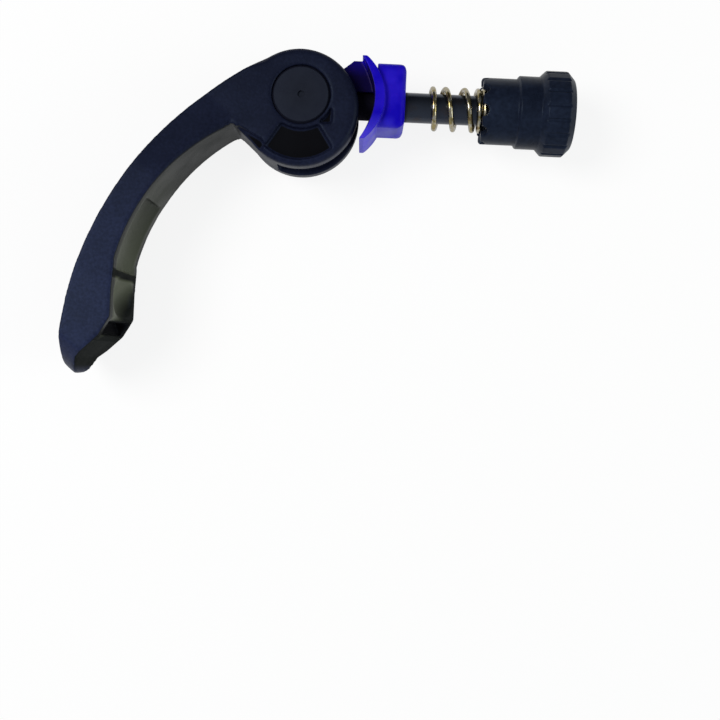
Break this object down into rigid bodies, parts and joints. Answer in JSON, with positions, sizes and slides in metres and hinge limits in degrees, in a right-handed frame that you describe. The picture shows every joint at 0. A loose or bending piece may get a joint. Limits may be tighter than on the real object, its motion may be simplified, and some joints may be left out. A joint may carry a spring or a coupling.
{
  "type": "quick release clamp lever",
  "caption": "Quick release cam lever with threaded rod, curved cam seat, return spring and screw-on adjusting knob.",
  "frame": {"origin": "where the rod's axis crosses the lever's pivot axis", "axes": "+X along the rod from the lever to the knob, +Z along the pivot axis, lever swinging in the XY plane; the part lies on its side"},
  "size_m": [0.0997, 0.0665, 0.023],
  "materials": {
    "lever_plastic": "fine grained black glass filled nylon",
    "black_steel": "satin black",
    "rod_steel": "black oxide",
    "violet_plastic": "smooth violet nylon",
    "spring_wire": "yellow passivated zinc",
    "knob_plastic": "satin black nylon",
    "nut_steel": "zinc plated"
  },
  "bodies": {
    "rod_body": {"rod": "rod_steel", "pivot_barrel": "black_steel"},
    "lever_body": {"lever": "lever_plastic"},
    "saddle_body": {"saddle": "violet_plastic"},
    "spring_body": {"spring": "spring_wire"},
    "knob_body": {"knob": "knob_plastic", "knob_nut": "nut_steel"}
  },
  "joints": [
    {"name": "lever_pivot", "type": "hinge", "parent": "rod_body", "child": "lever_body", "pos_m": [0, 0, 0], "axis": [0, 0, 1], "range_deg": [-55, 95]},
    {"name": "saddle_slide", "type": "slide", "parent": "rod_body", "child": "saddle_body", "axis": [1, 0, 0], "range_m": [0, 0.007], "deforming": ["spring"]},
    {"name": "knob_advance", "type": "slide", "parent": "rod_body", "child": "spring_body", "axis": [1, 0, 0], "range_m": [-0.004, 0.003], "deforming": ["spring"]},
    {"name": "knob_turn", "type": "hinge", "parent": "spring_body", "child": "knob_body", "pos_m": [0.0455, 0, 0], "axis": [1, 0, 0], "range_deg": [-1440, 1080]}
  ],
  "couplings": [
    {"joint": "knob_advance", "follows": "knob_turn", "m_per_rad": 0.00015915}
  ]
}
